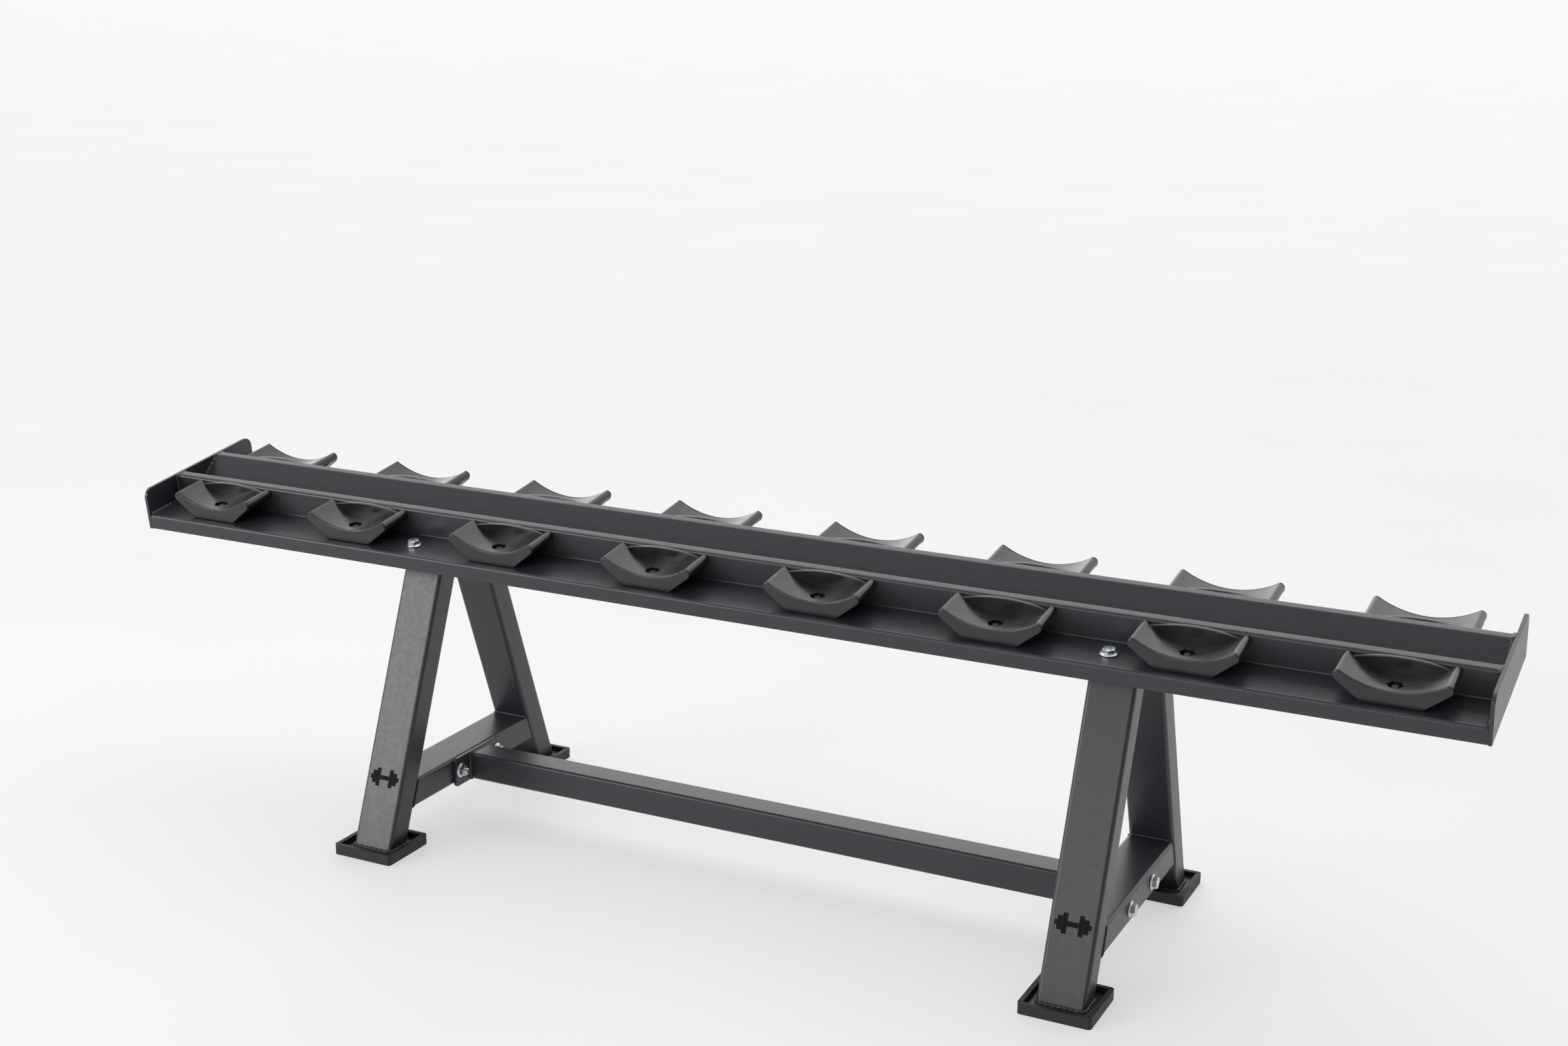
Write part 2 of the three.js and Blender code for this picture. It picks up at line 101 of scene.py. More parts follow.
STRETCHER_WIDTH = 55
STRETCHER_HEIGHT = 51.2
STRETCHER_WALL = 2.5
STRETCHER_CORNER = 5.5
FLANGE_CORNER = 7

SADDLES_PER_SIDE = 8
SADDLE_INSET = 15.3
SADDLE_BASE_WIDTH = 89.4
NOSE_RADIUS = 8.4
NOSE_X = 76.5
RIDGE_HEIGHT = 45.4
HOLLOW_HEIGHT = 22.8
STOP_THICKNESS = 7
STOP_END_X = 69  # where its crowned edge runs out into the cradle
STOP_HEIGHT = 48.6  # at the middle
STOP_SINK = 0.3  # how far its tips start under the cradle's surface
STOP_EDGE = 1.5
STOP_FILLET = 2.4
STOP_FILLET_END = 8  # the fillet stops this far before each tip
ON_CRADLE = 0.2  # what is this near to the cradle's surface lies on it
SADDLE_EDGE = 1.9
GROOVE_AT = 3.4  # behind the outer face; drawn wider than the real one so that it shows
GROOVE_WIDTH = 1.8
GROOVE_DEPTH = 1.3
POCKET_FLATS = 22
POCKET_INSET = 27.7
POCKET_FLOOR = 11
POCKET_RIM = 0.6
POCKET_FLARE = 3 * POCKET_RIM  # of the cutter, which reaches past the rim
STOP_ROOT = 8  # its solid starts this high, inside the body, and is this wide there
STOP_ROOT_X = 38
CRADLE_STEPS = 40
NOSE_STEPS = 12

# Fasteners: flange diameter and thickness, hexagon across flats, head height, thread and pitch
TRAY_BOLT = {"flange": 29, "rim": 1.5, "flats": 19, "height": 9, "thread": 12, "pitch": 1.75}
STRETCHER_BOLT = {"flange": 27, "rim": 1.4, "flats": 18, "height": 10, "thread": 12, "pitch": 1.75}
SADDLE_SCREW = {"flange": 14, "rim": 1.4, "flats": 10, "height": 9.5, "thread": 6, "pitch": 1}
FLANGE_CONE = 0.24  # how far the flange's cone climbs the hexagon, of the head's height
FLANGE_UNDERCUT = 0.4
FLANGE_EDGE = (0.5, 0.3)  # its upper edge is eased this far in and this far down
CHAMFER_INSET = 0.4  # of the hexagon's flat top, inside its flats
CHAMFER_FALL = 0.2  # how far the chamfer's cone still falls outside the hexagon's corners
COUNTERSINK = 0.7
THREAD_DEPTH = 0.6  # of its pitch
THREAD_CHAMFER = 1
CUTTER_REACH = 1  # how far a cutter starts below what it cuts
CUTTER_PROUD = 0.5  # and how far it stands past it
SHANK_ROOT = 0.5  # how far a shank reaches into its head
BOLT_TAIL = 7
TRAY_BOLT_INSET = 44.8
SCREW_GAP = 0.1
BOLT_TURNS = (17, 8)  # degrees by side and by face, so that no two heads lie alike
SCREW_TURNS = (23, 11)  # degrees by saddle and by face
ROUND_STEPS = 32

# Weld beads: radius, and how much of it the ripples add
BEADS = {"foot": (3.4, 0.16), "mount": (2.6, 0.06), "cross": (2.0, 0.08), "stretcher": (2.8, 0.1),
         "tray_lip": (1.5, 0.05), "tray_shelf": (4.4, 0.05), "tray_wall": (4.2, 0.05),
         "tray_flat": (4.9, 0.05), "tray_slope": (5.4, 0.05)}
BEAD_STEP = 1.8
RIPPLE_TURN = (0.7, 1.5)  # radians from one point of a bead to the next
DRIFT_KEPT, DRIFT_ADDED, DRIFT_SHARE = 0.85, 0.07, 0.6  # slow swelling and thinning of a bead
HAND_SHAKE = 0.05  # of its radius

# The sign on the front legs: the middle, width and height of its bar and of the weights at one end
MARK_BAR = (0, 18, 8)
MARK_WEIGHTS = ((13.2, 8, 32), (21.4, 8, 22), (27.6, 4, 8))
MARK_THICKNESS = 0.12
MARK_CENTRE = 128  # up the leg from the floor

# The stage, in metres, degrees and watts
FLOOR_SIZE = 120
SENSOR_WIDTH, FOCAL_LENGTH = 36, 49.68  # in millimetres
VIEW_END = 500
EYE = (1.5610, -3.1285, 1.5596)
EYE_HEADING, EYE_DIP, EYE_ROLL = 26.06, 14.98, 0.714
SOFTBOXES = (  # name, place, aim, width, height and power
    ("key_left", (-4.4, -5.0, 2.1), (-0.6, -0.2, 0.35), 3.4, 2.4, 190),
    ("fill_front", (-0.4, -6.2, 2.0), (0.4, -0.2, 0.35), 2.4, 2.0, 50),
    ("strip_above", (-0.4, 0.8, 2.5), (0, 0, 0.5), 3.2, 0.06, 9),
)

# ---------- Sizes that follow ----------
HALF_TRAY = TRAY_DEPTH / 2
WALL_FACE = HALF_TRAY - SHELF_DEPTH
MOUNT_PLATE_TOP = SHELF_HEIGHT - SHEET - GAP
LEG_TOP = MOUNT_PLATE_TOP - MOUNT_PLATE_THICKNESS - GAP
FOOT_PLATE_TOP = FOOT_FLOOR + GAP + FOOT_PLATE_THICKNESS
LEG_BOTTOM = FOOT_PLATE_TOP + GAP
SADDLE_DEPTH = SHELF_DEPTH - SADDLE_INSET - GAP
STOP_FACE = SADDLE_DEPTH - STOP_THICKNESS
CRADLE_DIP = RIDGE_HEIGHT - HOLLOW_HEIGHT
CRADLE_RADIUS = (NOSE_X ** 2 + CRADLE_DIP ** 2) / (2 * CRADLE_DIP)


def box_mm(node):
    """A CAD node's lowest and highest corner, in millimetres."""
    low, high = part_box(node)
    return low / MM, high / MM


def centre_mm(node):
    low, high = box_mm(node)
    return (low + high) / 2


def tray_place():
    """From the tray's own axes to the frame's: the end plate's lower edge is the tray's base line."""
    low, high = box_mm("end_plate_left")
    y = high.y - HALF_TRAY * math.cos(TRAY_TILT)
    z = low.z + HALF_TRAY * math.sin(TRAY_TILT)
    return Matrix.Translation((0, y, z)) @ Matrix.Rotation(TRAY_TILT, 4, "X")


TRAY = tray_place()
TRAY_LENGTH = box_mm("tray_sheet")[1].x * 2
LEG_LEAN = math.atan((LEG_FOOT_Y - LEG_TOP_SPREAD / 2)
                     / (TRAY.translation.z + LEG_TOP - FOOT_PLATE_TOP))
LEG_AXIS_Y = LEG_FOOT_Y + FOOT_PLATE_TOP * math.tan(LEG_LEAN)  # where its axis meets the floor
LEG_BLANK = 3 * TRAY.translation.z  # longer than the leg at both ends, which are then cut off


# ---------- Materials ----------
def linear(code):
    """An sRGB hex colour as the linear RGBA that a socket takes."""
    channels = [int(code[i:i + 2], 16) / 255 for i in (1, 3, 5)]
    return [c / 12.92 if c <= 0.04045 else ((c + 0.055) / 1.055) ** 2.4 for c in channels] + [1]


def add_node(tree, kind, inputs=None, **settings):
    """A node with its settings; each input is a value or the socket that feeds it."""
    made = tree.nodes.new(kind)
    for name, value in settings.items():
        setattr(made, name, value)
    for name, value in (inputs or {}).items():
        if isinstance(value, bpy.types.NodeSocket):
            tree.links.new(value, made.inputs[name])
        else:
            made.inputs[name].default_value = value
    return made


def new_material(name, **uniform):
    """A material's tree and its shader, with the values that are the same all over."""
    material = bpy.data.materials.new(name)
    material.use_nodes = True
    shader = material.node_tree.nodes["Principled BSDF"]
    for socket, value in uniform.items():
        shader.inputs[socket.replace("_", " ")].default_value = value
    return material, material.node_tree, shader


def noise(tree, size, detail=2.0, stretch=(1, 1, 1)):
    """Noise with features of a real size in millimetres, fixed to the object."""
    place = add_node(tree, "ShaderNodeTexCoord").outputs["Object"]
    scaled = add_node(tree, "ShaderNodeMapping", {"Vector": place, "Scale": stretch})
    return add_node(tree, "ShaderNodeTexNoise", {
        "Vector": scaled.outputs["Vector"], "Scale": 1 / (size * MM), "Detail": detail,
    }).outputs["Fac"]


def between(tree, factor, low, high):
    """A number from low to high, following the middle part of a noise."""
    return add_node(tree, "ShaderNodeMapRange", {
        "Value": factor, "From Min": NOISE_LOW, "From Max": NOISE_HIGH, "To Min": low, "To Max": high,
    }).outputs["Result"]


def blend_colours(tree, factor, first, second):
    """A colour from first to second; each is a hex code or the socket that gives it."""
    sharper = between(tree, factor, 0, 1)
    mixer = add_node(tree, "ShaderNodeMix", data_type="RGBA")
    tree.links.new(sharper, mixer.inputs[0])
    for socket, colour in ((mixer.inputs[6], first), (mixer.inputs[7], second)):
        if isinstance(colour, bpy.types.NodeSocket):
            tree.links.new(colour, socket)
        else:
            socket.default_value = linear(colour)
    return mixer.outputs[2]


def bump(tree, height, depth, strength=1.0, under=None):
    """Relief of a real depth in millimetres."""
    inputs = {"Height": height, "Distance": depth * MM, "Strength": strength}
    if under is not None:
        inputs["Normal"] = under
    return add_node(tree, "ShaderNodeBump", inputs).outputs["Normal"]


def powder_coated_steel():
    """Polyester powder coat, sprayed and baked: a satin slate grey. It gives the eye a fine sandy
    grain, soft cloudy changes of tone, and highlights that the grain breaks up."""
    material, tree, shader = new_material("powder_coated_steel", IOR=1.5)
    grain = noise(tree, 1.3, 1)  # the real sand is under 1 mm; coarser so that it shows
    mottle = noise(tree, 9, 2)
    clouds = noise(tree, 260, 2)
    fine = blend_colours(tree, grain, "#1d1f23", "#323439")
    patchy = blend_colours(tree, mottle, fine, "#2b2d32")
    tree.links.new(blend_colours(tree, clouds, patchy, fine), shader.inputs["Base Color"])
    tree.links.new(between(tree, mottle, 0.32, 0.38), shader.inputs["Roughness"])
    tree.links.new(bump(tree, grain, 0.05, 0.5), shader.inputs["Normal"])
    return material


def coated_weld():
    """MIG weld bead under the same powder coat, which pools in its ripples and leaves their hollows
    glossier. Its colour is painted paler on the crests, a painted highlight, and darker in the
    hollows, painted shade."""
    material, tree, shader = new_material("coated_weld", IOR=1.5)
    ripple = noise(tree, 4, 3)
    # the paler crests are a painted highlight and the darker hollows are painted shade
    tree.links.new(blend_colours(tree, ripple, "#25262a", "#34353a"), shader.inputs["Base Color"])
    tree.links.new(between(tree, ripple, 0.3, 0.45), shader.inputs["Roughness"])
    tree.links.new(bump(tree, ripple, 0.5, 0.7), shader.inputs["Normal"])
    return material


def moulded_nylon():
    """Glass-filled nylon, injection moulded: near black, with a soft sheen. It gives the eye faint
    lighter streaks across the cradle, from ridge to ridge, painted sheen over the slight waves of
    the moulding, and the satin skin of the mould."""
    material, tree, shader = new_material("moulded_nylon", IOR=1.53)
    waves_and_sheen = noise(tree, 15, 3, (0.3, 1, 1))
    skin = noise(tree, 2.5, 2)  # spark-eroded mould skin, about 0.1 mm; coarser so that it shows
    tone = blend_colours(tree, skin, "#15161a", "#1c1d20")
    # the lighter streaks that follow this noise are painted sheen
    tree.links.new(blend_colours(tree, waves_and_sheen, tone, "#212226"), shader.inputs["Base Color"])
    tree.links.new(between(tree, waves_and_sheen, 0.17, 0.28), shader.inputs["Roughness"])
    sink = bump(tree, waves_and_sheen, 0.35, 0.5)  # the slight waves of a thick moulding
    tree.links.new(bump(tree, skin, 0.02, 0.3, sink), shader.inputs["Normal"])
    return material


def moulded_rubber():
    """Compression-moulded rubber: matt charcoal. It gives the eye a dull, patchy bloom and no sharp
    highlight."""
    material, tree, shader = new_material("moulded_rubber", IOR=1.52)
    bloom = noise(tree, 14, 4)
    grit = noise(tree, 2.2, 2)
    tone = blend_colours(tree, bloom, "#0f1011", "#17181a")
    tree.links.new(tone, shader.inputs["Base Color"])
    tree.links.new(between(tree, bloom, 0.55, 0.7), shader.inputs["Roughness"])
    tree.links.new(bump(tree, grit, 0.08, 0.5), shader.inputs["Normal"])
    return material


def bright_zinc():
    """Steel fasteners, cold headed and zinc plated with a clear passivate: bright, faintly blue
    metal with a satin grain and duller patches."""
    material, tree, shader = new_material("bright_zinc", Metallic=1.0)
    patches = noise(tree, 6, 3)
    tree.links.new(blend_colours(tree, patches, "#b9bdc4", "#d6d9dd"), shader.inputs["Base Color"])
    tree.links.new(between(tree, patches, 0.24, 0.38), shader.inputs["Roughness"])
    tree.links.new(bump(tree, noise(tree, 1.4, 2), 0.03, 0.4), shader.inputs["Normal"])
    return material


def dark_screw_steel():
    """Dull grey-black metal for the screws in the saddles' pockets, darker than the bright zinc of
    the other fasteners. It gives the eye a fine speckle and a patchy shine."""
    material, tree, shader = new_material("dark_screw_steel", Metallic=1.0)
    crystals = noise(tree, 1.2, 2)
    # the pocket screws take a darker metal than the zinc nuts under them
    tree.links.new(blend_colours(tree, crystals, "#2c2e30", "#484b4e"), shader.inputs["Base Color"])
    tree.links.new(between(tree, noise(tree, 5, 2), 0.32, 0.5), shader.inputs["Roughness"])
    tree.links.new(bump(tree, crystals, 0.03, 0.5), shader.inputs["Normal"])
    return material


def screen_printed_black():
    """Screen-printed enamel on the coat. It gives the eye a flat black, a little patchy where the
    ink lies thinner, with hardly any shine."""
    material, tree, shader = new_material("screen_printed_black", Specular_IOR_Level=0.15)
    ink = noise(tree, 3.2, 3)
    tree.links.new(blend_colours(tree, ink, "#050506", "#0a0a0b"), shader.inputs["Base Color"])
    tree.links.new(between(tree, ink, 0.6, 0.75), shader.inputs["Roughness"])
    return material


COAT = powder_coated_steel()
WELD = coated_weld()
NYLON = moulded_nylon()
RUBBER = moulded_rubber()
ZINC = bright_zinc()
DARK_STEEL = dark_screw_steel()
INK = screen_printed_black()


# ---------- Mesh helpers ----------
def piece(name, bm, material, node=None, place=None):
    """A finished piece: millimetres to metres, outward faces, smooth shading between sharp edges."""
    bm.transform(Matrix.Scale(MM, 4) @ (place or Matrix()))
    bmesh.ops.recalc_face_normals(bm, faces=bm.faces[:])
    mesh = bpy.data.meshes.new(name)
    bm.to_mesh(mesh)
    bm.free()
    made = mesh_piece(name, mesh, material, node)
    shading = made.modifiers.new("even_shading", "WEIGHTED_NORMAL")
    shading.keep_sharp = True
    return made


def mesh_piece(name, mesh, material, node=None):
    """A mesh in metres as a piece that rides on the rack and, with a node, stands for it."""
    mesh.shade_smooth()
    mesh.set_sharp_from_angle(angle=SHADING_ANGLE)
    mesh.materials.clear()
    mesh.materials.append(material)
    made = bpy.data.objects.new(name, mesh)
    bpy.context.scene.collection.objects.link(made)
    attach(made, "root")
    if node:
        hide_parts(node)
    return made


def verts_of(geometry):
    return [g for g in geometry if isinstance(g, bmesh.types.BMVert)]


def faces_of(geometry):
    return [g for g in geometry if isinstance(g, bmesh.types.BMFace)]


def extrude(bm, faces, offset):
    """Pushes faces out by offset, leaving walls behind them, and returns the moved faces. A face
    that stands alone stays as the other end; one that is part of a surface goes."""
    region = set(faces)
    attached = any(f not in region for face in faces for e in face.edges for f in e.link_faces)
    made = bmesh.ops.extrude_face_region(bm, geom=faces)["geom"]
    bmesh.ops.translate(bm, verts=verts_of(made), vec=offset)
    if attached:
        bmesh.ops.delete(bm, geom=[f for f in faces if f.is_valid], context="FACES_ONLY")
    return faces_of(made)


def round_edges(bm, edges, radius, segments=2):
    bmesh.ops.bevel(bm, geom=edges, offset=radius, offset_type="OFFSET", affect="EDGES",
                    segments=segments, profile=0.5, material=-1, clamp_overlap=True)


def sharp_edges(bm, test=lambda edge: True):
    return [e for e in bm.edges
            if e.is_manifold and e.calc_face_angle(0) > EDGE_ANGLE and test(e)]


def lies_at(axis, value):
    """A test for the edges that lie at one value of an axis."""
    return lambda edge: all(abs(getattr(v.co, axis) - value) < NEAR for v in edge.verts)


def rounded_rectangle(bm, width, depth, corner, segments=CORNER_STEPS):
    """A flat face in XY, centred, with each corner rounded."""
    bmesh.ops.create_grid(bm, x_segments=1, y_segments=1, size=0.5)
    bmesh.ops.scale(bm, verts=bm.verts[:], vec=(width, depth, 1))
    bmesh.ops.bevel(bm, geom=bm.verts[:], offset=corner, offset_type="OFFSET", affect="VERTICES",
                    segments=segments, profile=0.5, material=-1, clamp_overlap=False)
    return bm.faces[:]


def plate(width, depth, thickness, corner):
    """A cut plate lying on z = 0, with its edges eased."""
    bm = bmesh.new()
    extrude(bm, rounded_rectangle(bm, width, depth, corner), (0, 0, thickness))
    round_edges(bm, sharp_edges(bm), PLATE_EDGE)
    return bm


def tube(width, depth, wall, corner, length):
    """A hollow rectangular tube up Z, centred."""
    bm = bmesh.new()
    section = rounded_rectangle(bm, width, depth, corner)
    bmesh.ops.inset_region(bm, faces=section, thickness=wall, use_even_offset=True,
                           use_boundary=True)
    bmesh.ops.delete(bm, geom=section, context="FACES_ONLY")
    extrude(bm, bm.faces[:], (0, 0, length))
    bmesh.ops.translate(bm, verts=bm.verts[:], vec=(0, 0, -length / 2))
    return bm


def cut_off(bm, point, normal):
    """Cuts a tube on a plane, drops what the normal points to, and closes its wall again."""
    geometry = bm.verts[:] + bm.edges[:] + bm.faces[:]
    cut = bmesh.ops.bisect_plane(bm, geom=geometry, plane_co=point, plane_no=normal,
                                 clear_outer=True)["geom_cut"]
    rim = [g for g in cut if isinstance(g, bmesh.types.BMEdge)]
    bmesh.ops.bridge_loops(bm, edges=rim)


def carved(bm, cutter, operation="DIFFERENCE"):
    """The mesh with another one taken from it, or kept only where the two meet."""
    objects = []
    for name, source in (("blank", bm), ("cutter", cutter)):
        bmesh.ops.recalc_face_normals(source, faces=source.faces[:])
        mesh = bpy.data.meshes.new(name)
        source.to_mesh(mesh)
        source.free()
        objects.append(bpy.data.objects.new(name, mesh))
        bpy.context.scene.collection.objects.link(objects[-1])
    boolean = objects[0].modifiers.new("carve", "BOOLEAN")
    boolean.operation = operation
    boolean.solver = "EXACT"
    boolean.object = objects[1]
    bpy.context.view_layer.update()
    made = bmesh.new()
    made.from_object(objects[0], bpy.context.evaluated_depsgraph_get())
    for used in objects:
        bpy.data.objects.remove(used)
    return made


def join(*parts):
    """Several meshes in one."""
    whole = bmesh.new()
    for bm in parts:
        mesh = bpy.data.meshes.new("part")
        bm.to_mesh(mesh)
        bm.free()
        whole.from_mesh(mesh)
        bpy.data.meshes.remove(mesh)
    return whole


def turn(degrees, axis):
    return Matrix.Rotation(math.radians(degrees), 4, axis)


def move(x, y, z):
    return Matrix.Translation((x, y, z))


# ---------- Tray ----------
def tray_sheet():
    """One bent sheet: lip, shelf, wall and top flat on each side, and a V between the walls."""
    half = [(HALF_TRAY, LIP_BOTTOM), (HALF_TRAY, SHELF_HEIGHT), (WALL_FACE, SHELF_HEIGHT),
            (WALL_FACE, WALL_TOP), (WALL_FACE - TOP_FLAT, WALL_TOP), (0, VALLEY_HEIGHT)]
    path = [(-y, z) for y, z in half] + half[-2::-1]
    bm = bmesh.new()
    verts = [bm.verts.new((-TRAY_LENGTH / 2, y, z)) for y, z in path]
    folds = [bm.edges.new(pair) for pair in zip(verts, verts[1:])]
    made = bmesh.ops.extrude_edge_only(bm, edges=folds)["geom"]
    bmesh.ops.translate(bm, verts=verts_of(made), vec=(TRAY_LENGTH, 0, 0))
    bm.normal_update()
    if max(bm.faces, key=lambda f: f.calc_area()).normal.z < 0:
        bmesh.ops.reverse_faces(bm, faces=bm.faces[:])
    slope = math.atan2(WALL_TOP - VALLEY_HEIGHT, WALL_FACE - TOP_FLAT)
    bends = (((HALF_TRAY, SHELF_HEIGHT), OUTSIDE_BEND),
             ((WALL_FACE, SHELF_HEIGHT), INSIDE_BEND),
             ((WALL_FACE, WALL_TOP), OUTSIDE_BEND),
             ((WALL_FACE - TOP_FLAT, WALL_TOP), OUTSIDE_BEND * math.tan(slope / 2)),
             ((0, VALLEY_HEIGHT), INSIDE_BEND * math.tan(slope)))
    for (y, z), setback in bends:
        fold = [e for e in bm.edges if all(
            abs(abs(v.co.y) - y) < NEAR and abs(v.co.z - z) < NEAR for v in e.verts)]
        round_edges(bm, fold, setback, BEND_STEPS)
    made = mesh_with_wall(bm, SHEET)
    return piece("tray_sheet.bent", made, COAT, "tray_sheet", TRAY)


def mesh_with_wall(bm, thickness):
    """An open sheet given its thickness on the side away from its normals."""
    mesh = bpy.data.meshes.new("sheet")
    bm.to_mesh(mesh)
    bm.free()
    sheet = bpy.data.objects.new("sheet", mesh)
    bpy.context.scene.collection.objects.link(sheet)
    wall = sheet.modifiers.new("wall", "SOLIDIFY")
    wall.thickness = thickness
    wall.offset = -1
    wall.use_even_offset = True
    bpy.context.view_layer.update()
    made = bmesh.new()
    made.from_object(sheet, bpy.context.evaluated_depsgraph_get())
    bpy.data.objects.remove(sheet)
    return made


def end_plate(side):
    """A cut plate that stands across the tray's end, with its upper corners rounded."""
    node = f"end_plate_{side}"
    low, high = box_mm(node)
    bm = bmesh.new()
    bmesh.ops.create_grid(bm, x_segments=1, y_segments=1, size=0.5)
    bmesh.ops.scale(bm, verts=bm.verts[:], vec=(TRAY_DEPTH, END_PLATE_HEIGHT, 1))
    upper = [v for v in bm.verts if v.co.y > 0]
    bmesh.ops.bevel(bm, geom=upper, offset=END_PLATE_CORNER, offset_type="OFFSET",
                    affect="VERTICES", segments=END_PLATE_CORNER_STEPS, profile=0.5, material=-1,
                    clamp_overlap=False)
    extrude(bm, bm.faces[:], (0, 0, high.x - low.x))
    round_edges(bm, sharp_edges(bm), PLATE_EDGE)
    upright = Matrix(((0, 0, 1, low.x), (1, 0, 0, 0), (0, 1, 0, END_PLATE_HEIGHT / 2),
                      (0, 0, 0, 1)))
    return piece(f"{node}.plate", bm, COAT, node, TRAY @ upright)


def mount_plate(side):
    node = f"tray_mount_plate_{side}"
    bm = plate(LEG_WIDTH + 2 * MOUNT_PLATE_MARGIN, TRAY_DEPTH - 2 * MOUNT_PLATE_INSET,
               MOUNT_PLATE_THICKNESS, MOUNT_PLATE_CORNER)
    place = TRAY @ move(centre_mm(node).x, 0, MOUNT_PLATE_TOP - MOUNT_PLATE_THICKNESS)
    return piece(f"{node}.plate", bm, COAT, node, place)


# ---------- Saddles ----------
def sweep(bm, start, centre, degrees, steps):
    """Turns a vertex about an axis along -Y and returns where it ends."""
    made = bmesh.ops.spin(bm, geom=[start], cent=centre, axis=(0, -1, 0), steps=steps,
                          angle=math.radians(degrees), use_duplicate=False)
    return verts_of(made["geom_last"])[0]


def cradle_height(x):
    """The height of the cradle's surface at a distance from the saddle's middle."""
    return HOLLOW_HEIGHT + CRADLE_RADIUS - math.sqrt(CRADLE_RADIUS ** 2 - x ** 2)


def cradle_outline(bm):
    """The saddle across the rack: flat base, flared flanks, round noses, and the hollow of the
    cradle from ridge to ridge. Returns its face."""
    base = SADDLE_BASE_WIDTH / 2
    nose_z = RIDGE_HEIGHT - NOSE_RADIUS
    to_nose = Vector((NOSE_X - base, nose_z))
    flank = math.atan2(to_nose.y, to_nose.x) - math.asin(NOSE_RADIUS / to_nose.length)
    nose_turn = math.degrees(flank) - 180
    spread = math.degrees(math.asin(NOSE_X / CRADLE_RADIUS))
    ridge = bm.verts.new((-NOSE_X, 0, RIDGE_HEIGHT))
    far = sweep(bm, ridge, (0, 0, HOLLOW_HEIGHT + CRADLE_RADIUS), 2 * spread, CRADLE_STEPS)
    right = sweep(bm, far, (NOSE_X, 0, nose_z), nose_turn, NOSE_STEPS)
    corners = [bm.verts.new((base, 0, 0)), bm.verts.new((-base, 0, 0)),
               bm.verts.new((-right.co.x, 0, right.co.z))]
    for pair in zip([right] + corners, corners):
        bm.edges.new(pair)
    last = sweep(bm, corners[-1], (-NOSE_X, 0, nose_z), nose_turn, NOSE_STEPS)
    bmesh.ops.pointmerge(bm, verts=[last, ridge], merge_co=ridge.co.copy())
    return bmesh.ops.contextual_create(bm, geom=bm.edges[:])["faces"]


def stop_crescent():
    """The end wall's solid: its crowned edge runs out into the cradle on both sides."""
    bm = bmesh.new()
    tip = cradle_height(STOP_END_X) - STOP_SINK
    rise = STOP_HEIGHT - tip
    radius = (STOP_END_X ** 2 + rise ** 2) / (2 * rise)
    spread = math.degrees(math.asin(STOP_END_X / radius))
    start = bm.verts.new((-STOP_END_X, STOP_FACE, tip))
    far = sweep(bm, start, (0, STOP_FACE, STOP_HEIGHT - radius), -2 * spread, CRADLE_STEPS)
    root = [bm.verts.new((x, STOP_FACE, STOP_ROOT)) for x in (STOP_ROOT_X, -STOP_ROOT_X)]
    for pair in ((far, root[0]), root, (root[1], start)):
        bm.edges.new(pair)
    face = bmesh.ops.contextual_create(bm, geom=bm.edges[:])["faces"]
    extrude(bm, face, (0, STOP_THICKNESS, 0))
    bmesh.ops.recalc_face_normals(bm, faces=bm.faces[:])
    crown = sharp_edges(bm, lambda e: min(v.co.z for v in e.verts) > tip - NEAR
                        and abs(e.verts[0].co.y - e.verts[1].co.y) < NEAR)
    round_edges(bm, crown, STOP_EDGE, 3)
    return bm


def pocket_cutter():
    """A hexagonal well, corners to left and right, that flares at its rim."""
    bm = bmesh.new()
    corner = POCKET_FLATS / math.sqrt(3)
    bmesh.ops.create_circle(bm, cap_ends=True, segments=6, radius=corner)
    bmesh.ops.rotate(bm, verts=bm.verts[:], cent=(0, 0, 0),
                     matrix=Matrix.Rotation(math.pi / 6, 3, "Z"))
    straight = HOLLOW_HEIGHT - POCKET_RIM - POCKET_FLOOR
    top = extrude(bm, bm.faces[:], (0, 0, straight))
    flare = extrude(bm, top, (0, 0, POCKET_FLARE))
    wider = 1 + POCKET_FLARE / corner
    bmesh.ops.scale(bm, verts=[v for f in flare for v in f.verts], vec=(wider, wider, 1))
    bm.transform(move(0, POCKET_INSET, POCKET_FLOOR))
    return bm


def saddle_master():
    """One saddle with its outer face at y = 0: cradle, groove behind the edge, stop and pocket."""
    bm = bmesh.new()
    body = cradle_outline(bm)
    y = 0
    for ring in (GROOVE_AT - GROOVE_WIDTH / 2, GROOVE_AT, GROOVE_AT + GROOVE_WIDTH / 2,
                 SADDLE_DEPTH):
        body = extrude(bm, body, (0, ring - y, 0))
        y = ring
    for v in bm.verts:
        if abs(v.co.y - GROOVE_AT) < NEAR and v.co.z > HOLLOW_HEIGHT - NEAR:
            v.co.z -= GROOVE_DEPTH
    bmesh.ops.recalc_face_normals(bm, faces=bm.faces[:])
    round_edges(bm, sharp_edges(bm, lies_at("y", 0)), SADDLE_EDGE, 3)
    round_edges(bm, sharp_edges(bm, lies_at("y", SADDLE_DEPTH)), INSIDE_BEND, 3)
    bm = carved(bm, stop_crescent(), "UNION")
    on_stop = lies_at("y", STOP_FACE)
    root = sharp_edges(bm, lambda e: on_stop(e) and all(
        abs(v.co.x) < STOP_END_X - STOP_FILLET_END
        and v.co.z < cradle_height(v.co.x) + ON_CRADLE for v in e.verts))
    round_edges(bm, root, STOP_FILLET, 3)
    return carved(bm, pocket_cutter())


def saddles():
    master = saddle_master()
    for face, sy in FACES:
        turn_round = turn(180 if sy > 0 else 0, "Z")
        for i in range(SADDLES_PER_SIDE):
            node = f"saddle_{face}_{i + 1}"
            place = TRAY @ move(centre_mm(node).x, sy * (HALF_TRAY - SADDLE_INSET),
                                SHELF_HEIGHT + GAP) @ turn_round
            piece(f"{node}.moulding", master.copy(), NYLON, node, place)
    master.free()


